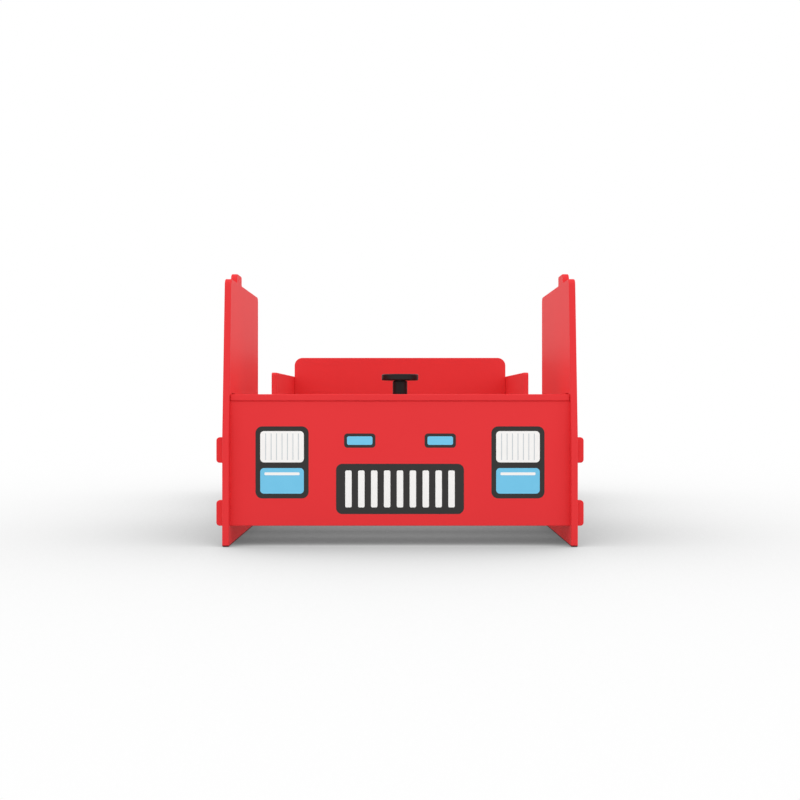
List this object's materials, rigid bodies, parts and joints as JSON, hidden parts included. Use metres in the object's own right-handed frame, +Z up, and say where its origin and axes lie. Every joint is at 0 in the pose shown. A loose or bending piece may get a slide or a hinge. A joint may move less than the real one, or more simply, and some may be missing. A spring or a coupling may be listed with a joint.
{
  "type": "fire engine toddler bed",
  "caption": "Slot-together toddler bed with fire engine side panels, a low entry, a slatted base and a dashboard shelf with a turning steering wheel.",
  "frame": {"origin": "centre of the bed's footprint, on the floor", "axes": "+Z up, +Y from the cab towards the head end, +X to the right when facing along +Y"},
  "size_m": [0.776, 1.486, 0.5865],
  "materials": {
    "red_lacquer": "satin red lacquer on MDF board",
    "pine": "planed unfinished pine",
    "beech": "fluted beech dowel",
    "black_plastic": "moulded, fine satin texture",
    "nylon": "natural nylon",
    "zinc_steel": "bright zinc plate"
  },
  "bodies": {
    "bed": {"side_panel_left": "red_lacquer", "side_panel_right": "red_lacquer", "front_panel": "red_lacquer", "rear_panel": "red_lacquer", "dash_shelf": "red_lacquer", "slat_01": "pine", "slat_02": "pine", "slat_03": "pine", "slat_04": "pine", "slat_05": "pine", "slat_06": "pine", "slat_07": "pine", "slat_08": "pine", "slat_09": "pine", "slat_10": "pine", "slat_11": "pine", "batten_left": "pine", "batten_right": "pine", "dash_dowels": "beech", "steering_column": "black_plastic", "thrust_washer": "black_plastic", "panel_bolts": "zinc_steel", "barrel_nuts": "zinc_steel", "slat_screws": "zinc_steel", "batten_screws": "zinc_steel", "steering_spindle": "zinc_steel", "lock_nut": "zinc_steel", "head_washer": "zinc_steel", "top_washer": "zinc_steel"},
    "wheel": {"steering_wheel": "black_plastic", "hub_bush": "nylon", "hub_cap": "black_plastic"}
  },
  "joints": [
    {"name": "steering_turn", "type": "hinge", "parent": "bed", "child": "wheel", "pos_m": [0, -0.648, 0.3502], "axis": [0, 0, 1], "continuous": true}
  ]
}
